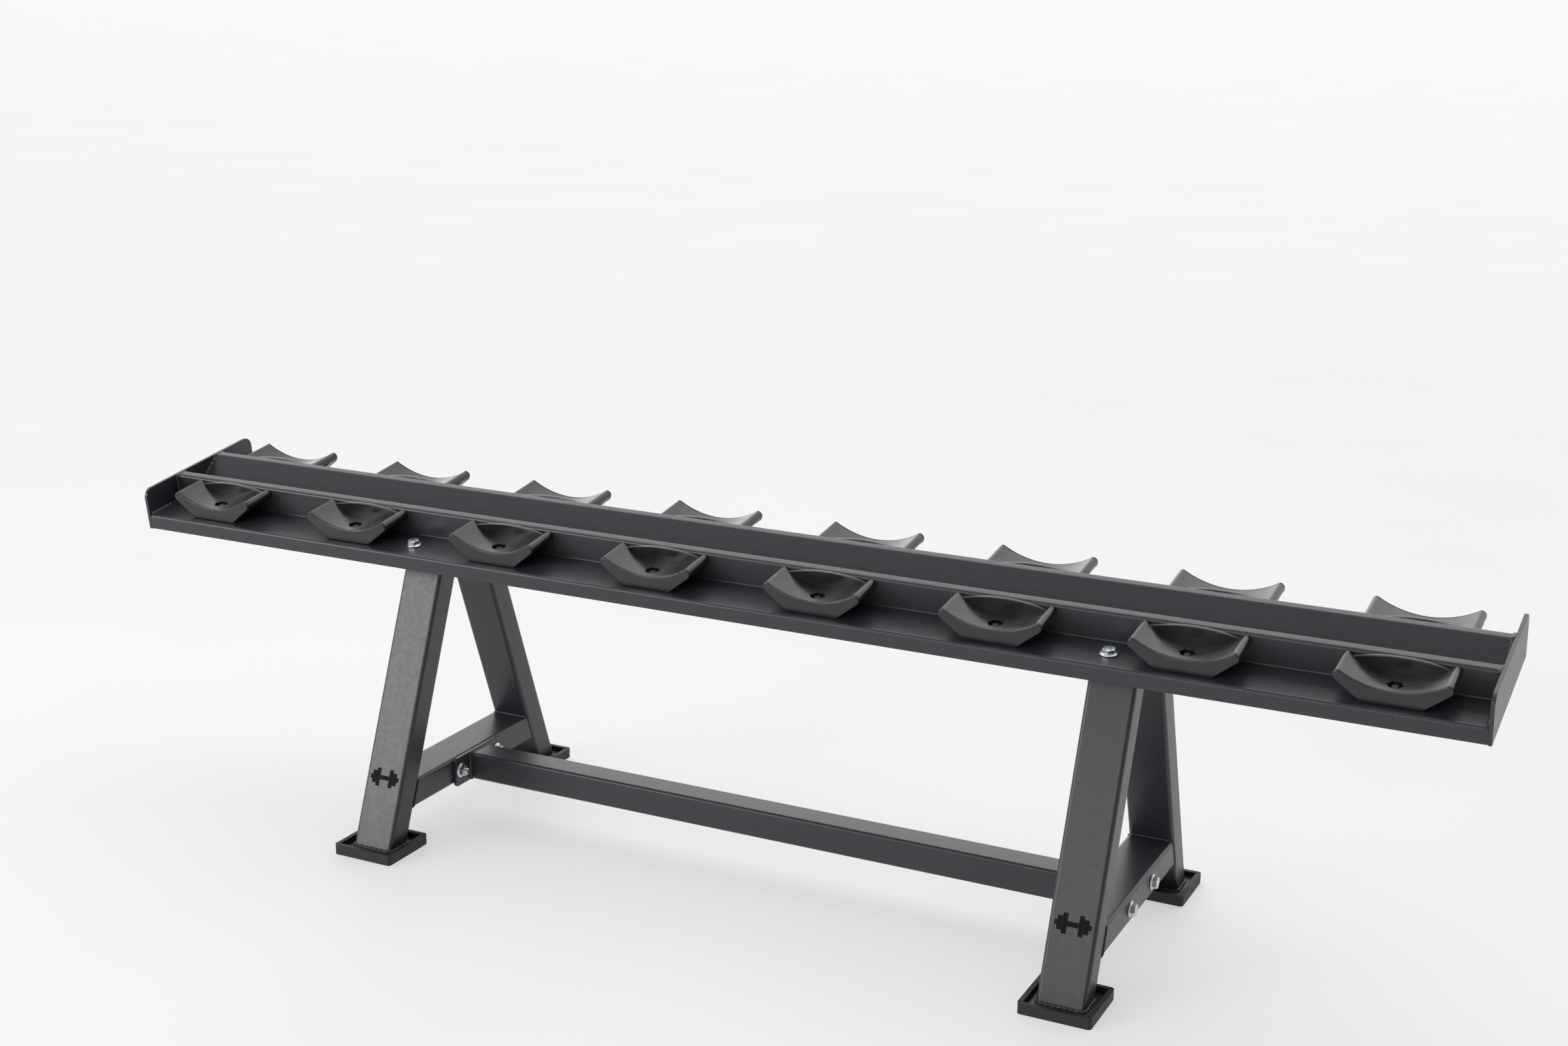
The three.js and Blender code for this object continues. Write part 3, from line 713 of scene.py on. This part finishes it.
# ---------- Fasteners, standing on z = 0 with the thread pointing down ----------
def turned_profile(points):
    """A solid of revolution about Z from a profile of (radius, height)."""
    bm = bmesh.new()
    verts = [bm.verts.new((r, 0, z)) for r, z in points]
    edges = [bm.edges.new(pair) for pair in zip(verts, verts[1:])]
    bmesh.ops.spin(bm, geom=verts + edges, cent=(0, 0, 0), axis=(0, 0, 1), steps=ROUND_STEPS,
                   angle=math.tau, use_merge=True, use_duplicate=False)
    bmesh.ops.remove_doubles(bm, verts=bm.verts[:], dist=0.001)
    bmesh.ops.holes_fill(bm, edges=[e for e in bm.edges if e.is_boundary], sides=0)
    return bm


def hexagon_head(size):
    """A hexagon with its upper corners turned off at about 30 degrees."""
    corner = size["flats"] / math.sqrt(3)
    bm = bmesh.new()
    bmesh.ops.create_cone(bm, cap_ends=True, segments=6, radius1=corner, radius2=corner,
                          depth=size["height"] - size["rim"])
    bmesh.ops.translate(bm, verts=bm.verts[:], vec=(0, 0, (size["height"] + size["rim"]) / 2))
    flat_top = size["flats"] / 2 - CHAMFER_INSET
    outside = corner + CUTTER_PROUD
    fall = (corner - flat_top) * math.tan(math.pi / 6) + CHAMFER_FALL
    dome = turned_profile([(0, -CUTTER_REACH), (outside, -CUTTER_REACH),
                           (outside, size["height"] - fall), (flat_top, size["height"]),
                           (0, size["height"])])
    return carved(bm, dome, "INTERSECT")


def flange_disc(size, bore=0):
    """The flange of a head or nut: a thin rim, and a cone that climbs the hexagon a little way."""
    edge = size["flange"] / 2
    eased_in, eased_down = FLANGE_EDGE
    cone_top = size["rim"] + size["height"] * FLANGE_CONE
    return turned_profile([(bore, 0), (edge - FLANGE_UNDERCUT, 0), (edge, FLANGE_UNDERCUT),
                           (edge, size["rim"] - eased_down), (edge - eased_in, size["rim"]),
                           (size["flats"] / 2, cone_top), (bore, cone_top)])


def thread(size, top, bottom):
    """A threaded shank: V-shaped crests a pitch apart, with a chamfered end."""
    outer = size["thread"] / 2
    root = outer - THREAD_DEPTH * size["pitch"]
    turns = int((top - bottom) / size["pitch"])
    points = [(0, top), (outer, top)]
    for i in range(turns):
        z = top - (i + 0.5) * size["pitch"]
        points += [(root, z), (outer, z - size["pitch"] / 2)]
    points = [p for p in points if p[1] > bottom + THREAD_CHAMFER]
    return turned_profile(points + [(root, bottom), (0, bottom)])


def shank(size, length):
    radius = size["thread"] / 2
    return turned_profile([(0, SHANK_ROOT), (radius, SHANK_ROOT), (radius, -length), (0, -length)])


def bolt(size, grip):
    """Head, plain shank through the joint, and the thread that shows past the nut."""
    tail = grip + size["height"] + BOLT_TAIL
    return join(flange_disc(size), hexagon_head(size), shank(size, grip),
                thread(size, -grip, -tail))


def nut(size):
    """A flange nut with a bored and countersunk hexagon."""
    bore = size["thread"] / 2 + GAP
    above = size["height"] + CUTTER_PROUD
    hole = turned_profile([(0, -CUTTER_REACH), (bore, -CUTTER_REACH),
                           (bore, size["height"] - COUNTERSINK),
                           (bore + COUNTERSINK + CUTTER_PROUD, above), (0, above)])
    return join(flange_disc(size, bore), carved(hexagon_head(size), hole))


def fasteners():
    """The bolts and nuts of the tray and of the stretcher, at each corner of the rack."""
    tray_grip = SHEET + MOUNT_PLATE_THICKNESS + 3 * GAP
    for face, sy in FACES:
        for side, sx in SIDES:
            corner = f"{face}_{side}"
            x = centre_mm(f"tray_bolt_{corner}").x
            y = sy * (HALF_TRAY - TRAY_BOLT_INSET)
            spin_head = turn(BOLT_TURNS[0] * sx + BOLT_TURNS[1] * sy, "Z")
            above = TRAY @ move(x, y, SHELF_HEIGHT + GAP) @ spin_head
            below = TRAY @ move(x, y, LEG_TOP) @ turn(180, "X") @ spin_head
            piece(f"tray_bolt_{corner}.bolt", bolt(TRAY_BOLT, tray_grip), ZINC,
                  f"tray_bolt_{corner}", above)
            piece(f"tray_nut_{corner}.nut", nut(TRAY_BOLT), ZINC,
                  f"tray_nut_{corner}", below)
            stretcher_fasteners(corner, sx, spin_head)


def stretcher_fasteners(corner, sx, spin_head):
    """A bolt through the cross tube and the stretcher's flange, with its nut inside."""
    bolt_node, nut_node = f"stretcher_bolt_{corner}", f"stretcher_nut_{corner}"
    centre = centre_mm(nut_node)
    low, high = box_mm(f"cross_tube_{corner.split('_')[1]}")
    face_x = (high.x if sx > 0 else low.x) + sx * GAP
    low, high = box_mm(nut_node)
    seat_x = high.x if sx > 0 else low.x
    grip = abs(face_x - seat_x)
    outwards = move(face_x, centre.y, centre.z) @ turn(90 * sx, "Y") @ spin_head
    inwards = move(seat_x, centre.y, centre.z) @ turn(-90 * sx, "Y") @ spin_head
    piece(f"{bolt_node}.bolt", bolt(STRETCHER_BOLT, grip), ZINC, bolt_node,
          outwards)
    piece(f"{nut_node}.nut", nut(STRETCHER_BOLT), ZINC, nut_node, inwards)


def saddle_screws():
    """A screw at the bottom of each saddle's pocket, with its nut under the shelf."""
    for face, sy in FACES:
        for i in range(SADDLES_PER_SIDE):
            x = centre_mm(f"saddle_{face}_{i + 1}").x
            y = sy * (HALF_TRAY - SADDLE_INSET - POCKET_INSET)
            head = SHELF_HEIGHT + GAP + POCKET_FLOOR + SCREW_GAP
            grip = POCKET_FLOOR + GAP + SHEET + 2 * SCREW_GAP
            spin_head = turn(SCREW_TURNS[0] * i + SCREW_TURNS[1] * sy, "Z")
            place = TRAY @ move(x, y, head) @ spin_head
            under = TRAY @ move(x, y, head - grip - SCREW_GAP) @ turn(180, "X") @ spin_head
            piece(f"saddle_screw_{face}_{i + 1}", bolt(SADDLE_SCREW, grip), DARK_STEEL,
                  None, place)
            piece(f"saddle_nut_{face}_{i + 1}", nut(SADDLE_SCREW), ZINC, None,
                  under)


# ---------- A-frames ----------
def leg_place(x, sy):
    """From a leg's own axes, its axis up Z from the floor, to the frame's."""
    return move(x, sy * LEG_AXIS_Y, 0) @ Matrix.Rotation(sy * LEG_LEAN, 4, "X")


def leg(face, sy, side, x):
    """A leaning tube, cut level above its foot plate and along the tray's tilt at its top."""
    node = f"leg_{face}_{side}"
    bm = tube(LEG_WIDTH, LEG_DEPTH, LEG_WALL, LEG_CORNER, LEG_BLANK)
    bm.transform(leg_place(x, sy))
    cut_off(bm, (0, 0, LEG_BOTTOM), (0, 0, -1))
    cut_off(bm, TRAY @ Vector((0, 0, LEG_TOP)), TRAY.to_3x3() @ Vector((0, 0, 1)))
    return piece(f"{node}.tube", bm, COAT, node)


def cross_tube(side, x):
    """A level tube, cut at both ends to the lean of the legs."""
    node = f"cross_tube_{side}"
    z = centre_mm(node).z
    bm = tube(LEG_WIDTH, CROSS_TUBE_HEIGHT, LEG_WALL, LEG_CORNER, 2 * LEG_FOOT_Y)
    bm.transform(move(x, 0, z) @ turn(90, "X"))
    for _, sy in FACES:
        place = leg_place(x, sy)
        inner = place @ Vector((0, -sy * (LEG_DEPTH / 2 + GAP), 0))
        cut_off(bm, inner, place.to_3x3() @ Vector((0, sy, 0)))
    return piece(f"{node}.tube", bm, COAT, node)


def foot(face, side):
    """A rubber cup with a raised, bevelled rim around the leg's steel foot plate."""
    corner = f"{face}_{side}"
    node = f"rubber_foot_{corner}"
    low, high = box_mm(node)
    size = high - low
    centre = (low + high) / 2
    bm = bmesh.new()
    base = rounded_rectangle(bm, size.x, size.y, FOOT_CORNER, FOOT_CORNER_STEPS)
    rim = extrude(bm, base, (0, 0, size.z))
    bmesh.ops.inset_region(bm, faces=rim, thickness=FOOT_RIM, use_even_offset=True,
                           use_boundary=True)
    extrude(bm, rim, (0, 0, FOOT_FLOOR - size.z))
    bmesh.ops.recalc_face_normals(bm, faces=bm.faces[:])
    round_edges(bm, sharp_edges(bm, lies_at("z", size.z)), FOOT_RIM_BEVEL, 3)
    round_edges(bm, sharp_edges(bm, lies_at("z", 0)), FOOT_BASE_EDGE)
    piece(f"{node}.cup", bm, RUBBER, node, move(centre.x, centre.y, 0))
    node = f"foot_plate_{corner}"
    low, high = box_mm(node)
    bm = plate(high.x - low.x, high.y - low.y, high.z - low.z, FOOT_PLATE_CORNER)
    centre = (low + high) / 2
    piece(f"{node}.plate", bm, COAT, node, move(centre.x, centre.y, low.z))


# ---------- Stretcher ----------
def stretcher():
    """The tube between the A-frames, with its two flange plates."""
    node = "stretcher_tube"
    low, high = box_mm(node)
    bm = tube(STRETCHER_HEIGHT, STRETCHER_WIDTH, STRETCHER_WALL, STRETCHER_CORNER, high.x - low.x)
    place = move(0, 0, (low.z + high.z) / 2) @ turn(90, "Y")
    piece(f"{node}.tube", bm, COAT, node, place)
    for side, _ in SIDES:
        node = f"stretcher_flange_{side}"
        low, high = box_mm(node)
        bm = plate(high.z - low.z, high.y - low.y, high.x - low.x, FLANGE_CORNER)
        place = move(low.x, 0, (low.z + high.z) / 2) @ turn(90, "Y")
        piece(f"{node}.plate", bm, COAT, node, place)


# ---------- Welds ----------
def rounded_loop(width, depth, corner):
    """Points round a rectangle with rounded corners, in XY."""
    points = []
    x, y = width / 2 - corner, depth / 2 - corner
    for quarter, (cx, cy) in enumerate(((x, y), (-x, y), (-x, -y), (x, -y))):
        for i in range(4):
            angle = math.pi / 2 * (quarter + i / 3)
            points.append(Vector((cx + corner * math.cos(angle), cy + corner * math.sin(angle), 0)))
    return along(points + points[:1])[:-1]


def along(points):
    """The same path with a point at every step of a bead."""
    made = [points[0]]
    for a, b in zip(points, points[1:]):
        count = max(1, round((b - a).length / BEAD_STEP))
        made += [a.lerp(b, i / count) for i in range(1, count + 1)]
    return made


def weld(kind, where, points, place, closed=True):
    """A rippled bead along a path."""
    name = f"weld_{kind}_{where}"
    radius, ripple = BEADS[kind]
    draw = random.Random(f"{SEED}{name}")
    curve = bpy.data.curves.new(name, "CURVE")
    curve.dimensions = "3D"
    curve.bevel_depth = MM
    curve.bevel_resolution = 3
    curve.use_fill_caps = True
    spline = curve.splines.new("POLY")
    spline.points.add(len(points) - 1)
    phase, drift = 0, 0
    for target, point in zip(spline.points, points):
        phase += draw.uniform(*RIPPLE_TURN)
        drift = DRIFT_KEPT * drift + draw.uniform(-DRIFT_ADDED, DRIFT_ADDED)
        target.radius = radius * (1 + ripple * math.sin(phase) + DRIFT_SHARE * drift)
        shake = Vector([draw.uniform(-HAND_SHAKE, HAND_SHAKE) * radius for _ in range(3)])
        target.co = (*((place @ (point + shake)) * MM), 1)
    spline.use_cyclic_u = closed
    bead = bpy.data.objects.new("bead", curve)
    bpy.context.scene.collection.objects.link(bead)
    bpy.context.view_layer.update()
    graph = bpy.context.evaluated_depsgraph_get()
    mesh = bpy.data.meshes.new_from_object(bead.evaluated_get(graph))
    bpy.data.objects.remove(bead)
    return mesh_piece(name, mesh, WELD)


def leg_welds(face, sy, side, x):
    """Round the foot of a leg on its plate, and round its top under the mounting plate."""
    where = f"{face}_{side}"
    axis = leg_place(x, sy)
    low = axis @ Vector((0, 0, LEG_BOTTOM / math.cos(LEG_LEAN)))
    level_cut = rounded_loop(LEG_WIDTH, LEG_DEPTH / math.cos(LEG_LEAN), LEG_CORNER)
    weld("foot", where, level_cut, move(x, low.y, LEG_BOTTOM))
    to_tray = TRAY.inverted()
    start, end = (to_tray @ axis @ Vector((0, 0, z)) for z in (0, LEG_BLANK / 2))
    top = start.lerp(end, (LEG_TOP - start.z) / (end.z - start.z))
    tilted_cut = rounded_loop(LEG_WIDTH, LEG_DEPTH / math.cos(LEG_LEAN - sy * TRAY_TILT),
                              LEG_CORNER)
    weld("mount", where, tilted_cut, TRAY @ move(x, top.y, LEG_TOP))


def cross_tube_weld(face, sy, side, x):
    """Round the end of the cross tube, on the leaning inner face of the leg."""
    place = leg_place(x, sy)
    height = CROSS_TUBE_HEIGHT / math.cos(LEG_LEAN)
    inner = Vector((0, -sy * LEG_DEPTH / 2, 0))
    level = place @ inner
    rise = (centre_mm(f"cross_tube_{side}").z - level.z) / (place.to_3x3() @ Vector((0, 0, 1))).z
    weld("cross", f"{face}_{side}", rounded_loop(LEG_WIDTH, height, LEG_CORNER),
         place @ move(0, inner.y, rise) @ turn(90, "X"))


def stretcher_weld(side, sx):
    """Round the end of the stretcher, on the inner face of its flange plate."""
    low, high = box_mm(f"stretcher_flange_{side}")
    face_x = low.x if sx > 0 else high.x
    section = rounded_loop(STRETCHER_HEIGHT, STRETCHER_WIDTH, STRETCHER_CORNER)
    place = move(face_x, 0, centre_mm("stretcher_tube").z) @ turn(90, "Y")
    weld("stretcher", side, section, place)


def tray_welds(side, sx):
    """Where the sheet's lips, shelves, walls, top flats and V meet the end plate. Each bead is sunk
    in the sheet, so that only its crown shows."""
    x = sx * (TRAY_LENGTH / 2 - 1)
    runs = {
        "lip": [(HALF_TRAY - 1.2, LIP_BOTTOM + 2), (HALF_TRAY - 1.2, SHELF_HEIGHT - 2)],
        "shelf": [(HALF_TRAY - 4, SHELF_HEIGHT - 1), (WALL_FACE, SHELF_HEIGHT - 1)],
        "wall": [(WALL_FACE, SHELF_HEIGHT), (WALL_FACE, WALL_TOP - 5)],
        "flat": [(WALL_FACE - 1, WALL_TOP - 6), (WALL_FACE - 3, WALL_TOP - 3.8),
                 (WALL_FACE - TOP_FLAT + 1, WALL_TOP - 3.6)],
        "slope": [(WALL_FACE - TOP_FLAT, WALL_TOP - 4), (1, VALLEY_HEIGHT - 1)],
    }
    for face, sy in FACES:
        for run, corners in runs.items():
            points = along([Vector((x, sy * y, z)) for y, z in corners])
            weld(f"tray_{run}", f"{face}_{side}", points, TRAY, closed=False)


# ---------- Printed marks ----------
def leg_mark(side, x):
    """A plain dumbbell sign, printed low on each front leg: a bar and two weights at each end."""
    bars = [MARK_BAR] + [(sign * across, width, height)
                         for sign in (-1, 1) for across, width, height in MARK_WEIGHTS]
    bm = bmesh.new()
    for across, width, height in bars:
        made = bmesh.ops.create_grid(bm, x_segments=1, y_segments=1, size=0.5)["verts"]
        bmesh.ops.scale(bm, verts=made, vec=(width, height, 1))
        bmesh.ops.translate(bm, verts=made, vec=(across, 0, 0))
    extrude(bm, bm.faces[:], (0, 0, MARK_THICKNESS))
    place = leg_place(x, -1) @ move(0, -LEG_DEPTH / 2, MARK_CENTRE) @ turn(90, "X")
    return piece(f"leg_mark_{side}", bm, INK, None, place)


# ---------- Stage ----------
def pale_floor():
    """Matt white paint. It gives the eye an even, shadow-soft white: it glows a little, so that it
    stays pale under soft light."""
    material, tree, shader = new_material("pale_floor", Roughness=0.6, Specular_IOR_Level=0.2,
                                          Emission_Strength=0.52)
    shader.inputs["Emission Color"].default_value = linear("#fdfdfc")
    tint = blend_colours(tree, noise(tree, 900, 2), "#9c9b9b", "#a09f9f")
    tree.links.new(tint, shader.inputs["Base Color"])
    return material


def stage():
    """A plain pale floor that runs out of sight."""
    bm = bmesh.new()
    bmesh.ops.create_grid(bm, x_segments=1, y_segments=1, size=FLOOR_SIZE)
    mesh = bpy.data.meshes.new("floor")
    bm.to_mesh(mesh)
    bm.free()
    floor = bpy.data.objects.new("floor", mesh)
    bpy.context.scene.collection.objects.link(floor)
    mesh.materials.append(pale_floor())


def world_light(front, back, right):
    """White all round: brighter behind the rack than in front of it, and dimmer to its right."""
    world = bpy.data.worlds.new("studio")
    bpy.context.scene.world = world
    world.use_nodes = True
    tree = world.node_tree
    background = tree.nodes["Background"]
    background.inputs["Color"].default_value = linear("#fdfdfd")
    heading = add_node(tree, "ShaderNodeTexCoord").outputs["Generated"]
    along_axes = add_node(tree, "ShaderNodeSeparateXYZ", {"Vector": heading}).outputs
    depth = add_node(tree, "ShaderNodeMapRange", {
        "Value": along_axes["Y"], "From Min": -0.5, "From Max": 0.8,
        "To Min": front, "To Max": back})
    side = add_node(tree, "ShaderNodeMapRange", {
        "Value": along_axes["X"], "From Min": 0.1, "From Max": 0.8, "To Min": 1, "To Max": right})
    both = add_node(tree, "ShaderNodeMath", {0: depth.outputs[0], 1: side.outputs[0]},
                    operation="MULTIPLY")
    tree.links.new(both.outputs[0], background.inputs["Strength"])


def softbox(name, position, target, width, height, power):
    """A soft rectangle of light that the camera doesn't see."""
    light = bpy.data.lights.new(name, "AREA")
    light.shape = "RECTANGLE"
    light.size, light.size_y = width, height
    light.energy = power
    lamp = bpy.data.objects.new(name, light)
    bpy.context.scene.collection.objects.link(lamp)
    lamp.location = position
    aim = Vector(target) - Vector(position)
    lamp.rotation_euler = aim.to_track_quat("-Z", "Y").to_euler()
    lamp.visible_camera = False


def camera():
    """The view from the front right, a little above the rack."""
    lens = bpy.data.cameras.new("camera")
    lens.sensor_width = SENSOR_WIDTH
    lens.lens = FOCAL_LENGTH
    lens.clip_end = VIEW_END
    eye = bpy.data.objects.new("camera", lens)
    bpy.context.scene.collection.objects.link(eye)
    eye.matrix_world = (Matrix.Translation(EYE) @ turn(EYE_HEADING, "Z")
                        @ turn(90 - EYE_DIP, "X") @ turn(EYE_ROLL, "Z"))
    bpy.context.scene.camera = eye


# ---------- The rack ----------
def build():
    tray_sheet()
    saddles()
    saddle_screws()
    fasteners()
    stretcher()
    for side, sx in SIDES:
        x = centre_mm(f"cross_tube_{side}").x
        end_plate(side)
        mount_plate(side)
        cross_tube(side, x)
        tray_welds(side, sx)
        stretcher_weld(side, sx)
        leg_mark(side, x)
        for face, sy in FACES:
            leg(face, sy, side, x)
            foot(face, side)
            leg_welds(face, sy, side, x)
            cross_tube_weld(face, sy, side, x)


build()
stage()
camera()
world_light(front=0.48, back=1.7, right=0.5)
for lamp in SOFTBOXES:
    softbox(*lamp)
bpy.context.scene.view_settings.view_transform = "Standard"
